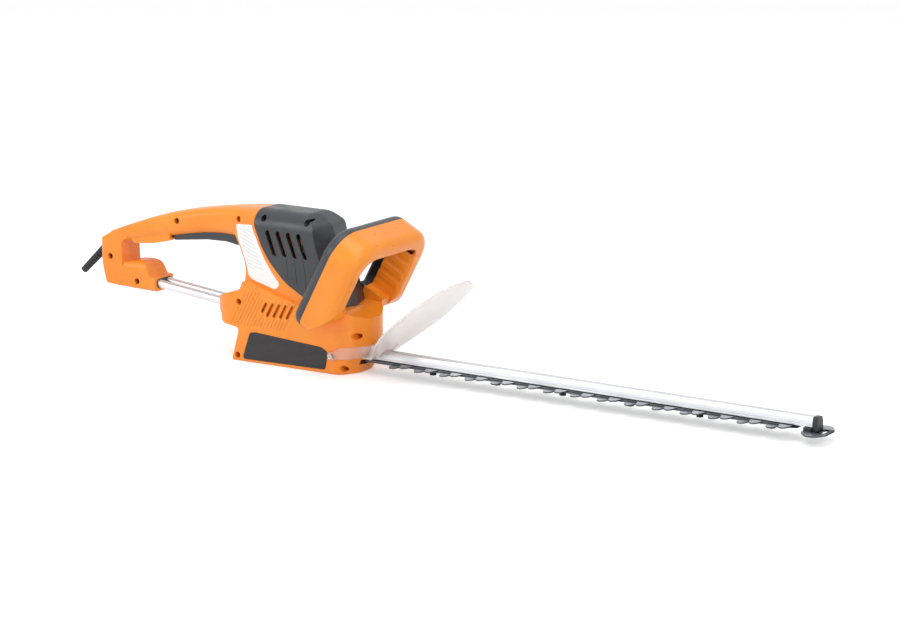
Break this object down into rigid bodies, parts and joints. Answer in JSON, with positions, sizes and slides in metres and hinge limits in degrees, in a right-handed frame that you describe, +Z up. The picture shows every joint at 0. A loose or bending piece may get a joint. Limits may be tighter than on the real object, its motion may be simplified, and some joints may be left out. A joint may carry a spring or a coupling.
{
  "type": "hedge trimmer",
  "caption": "Corded two-handed hedge trimmer with reciprocating double-sided blades, arched rear grip, looped front handle and clear hand guard.",
  "frame": {"origin": "on the base plane under the crank shaft, on the middle plane", "axes": "+X forward along the blades, +Y to the left, +Z up"},
  "size_m": [1.0197, 0.154, 0.182],
  "materials": {
    "orange_plastic": "fine textured injection moulding",
    "grey_plastic": "fine textured dark grey moulding",
    "black_plastic": "satin black plastic",
    "white_plastic": "white switch button",
    "label_film": "blank white foil",
    "clear_plastic": "clear polycarbonate",
    "sleeve_rubber": "soft black rubber",
    "rail_aluminium": "extruded, matt anodised",
    "blade_steel": "punched and ground steel",
    "dark_steel": "blackened steel",
    "bright_steel": "bright machined steel",
    "core_steel": "stacked steel sheets",
    "gearbox_alloy": "die cast",
    "copper_wire": "enamelled copper wire",
    "holder_brass": "folded brass",
    "carbon": "pressed carbon",
    "capacitor_case": "yellow case"
  },
  "bodies": {
    "frame": {"blade_bolts": "dark_steel", "blade_bushes": "bright_steel", "blade_nuts": "bright_steel", "body_screws": "dark_steel", "body_shell_left": "orange_plastic", "body_shell_right": "orange_plastic", "brush_holders": "holder_brass", "capacitor": "capacitor_case", "carbon_brushes": "carbon", "clamp_screws": "dark_steel", "cord_clamp": "black_plastic", "cord_sleeve": "sleeve_rubber", "cover_screws": "dark_steel", "crank_bearings": "bright_steel", "field_windings": "copper_wire", "frame_tube_left": "rail_aluminium", "frame_tube_right": "rail_aluminium", "front_handle_front": "orange_plastic", "front_handle_rear": "grey_plastic", "front_switch": "black_plastic", "gearbox_housing": "gearbox_alloy", "gearbox_plate": "bright_steel", "gearbox_screws": "dark_steel", "guard_screws": "bright_steel", "guide_rail": "rail_aluminium", "hand_guard": "clear_plastic", "handle_screws": "dark_steel", "motor_bearings": "bright_steel", "motor_cover_left": "grey_plastic", "motor_cover_right": "grey_plastic", "rail_end_cap": "black_plastic", "rail_pins": "bright_steel", "rating_label": "label_film", "rear_switch": "black_plastic", "side_panel_left": "grey_plastic", "side_panel_right": "grey_plastic", "stator_core": "core_steel", "tip_plate": "blade_steel", "tip_screws": "dark_steel", "tip_spacer": "black_plastic", "trigger_pin": "bright_steel", "trigger_spring": "bright_steel", "tube_collar": "grey_plastic"},
    "crank": {"gear_wheel": "bright_steel", "crank_shaft": "bright_steel"},
    "armature": {"armature_core": "core_steel", "armature_windings": "copper_wire", "armature_shaft": "bright_steel", "commutator": "copper_wire", "cooling_fan": "black_plastic"},
    "blade_upper": {"blade_upper": "blade_steel"},
    "blade_lower": {"blade_lower": "blade_steel"},
    "trigger": {"rear_trigger": "grey_plastic"},
    "rear_plunger": {"rear_plunger": "white_plastic"},
    "switch_bar": {"front_switch_bar": "black_plastic"},
    "front_plunger": {"front_plunger": "white_plastic"}
  },
  "joints": [
    {"name": "crank_turn", "type": "hinge", "parent": "frame", "child": "crank", "pos_m": [0, 0, 0.02], "axis": [0, 0, 1], "range_deg": [-90, 90]},
    {"name": "armature_turn", "type": "hinge", "parent": "frame", "child": "armature", "pos_m": [-0.033, 0, 0.1], "axis": [0, 0, 1], "range_deg": [-420, 420]},
    {"name": "blade_upper_slide", "type": "slide", "parent": "frame", "child": "blade_upper", "axis": [1, 0, 0], "range_m": [-0.0081, 0.0081]},
    {"name": "blade_lower_slide", "type": "slide", "parent": "frame", "child": "blade_lower", "axis": [1, 0, 0], "range_m": [-0.0081, 0.0081]},
    {"name": "trigger_pull", "type": "hinge", "parent": "frame", "child": "trigger", "pos_m": [-0.24, 0, 0.141], "axis": [0, -1, 0], "range_deg": [0, 3.5], "stiffness_Nm_per_rad": 3, "springref_deg": -5.73, "deforming": ["trigger_spring"]},
    {"name": "rear_plunger_slide", "type": "slide", "parent": "frame", "child": "rear_plunger", "axis": [0, 0, 1], "range_m": [0, 0.0025]},
    {"name": "bar_squeeze", "type": "slide", "parent": "frame", "child": "switch_bar", "axis": [0.4695, 0, 0.8829], "range_m": [0, 0.004], "stiffness_N_per_m": 400, "springref_m": -0.01},
    {"name": "front_plunger_slide", "type": "slide", "parent": "frame", "child": "front_plunger", "axis": [0.4695, 0, 0.8829], "range_m": [0, 0.0045]}
  ],
  "couplings": [
    {"joint": "armature_turn", "follows": "crank_turn", "ratio": -4.5},
    {"joint": "blade_upper_slide", "follows": "crank_turn", "m_per_rad": -0.005092},
    {"joint": "blade_lower_slide", "follows": "crank_turn", "m_per_rad": 0.005092},
    {"joint": "rear_plunger_slide", "follows": "trigger_pull", "m_per_rad": 0.035},
    {"joint": "front_plunger_slide", "follows": "bar_squeeze", "ratio": 1}
  ]
}
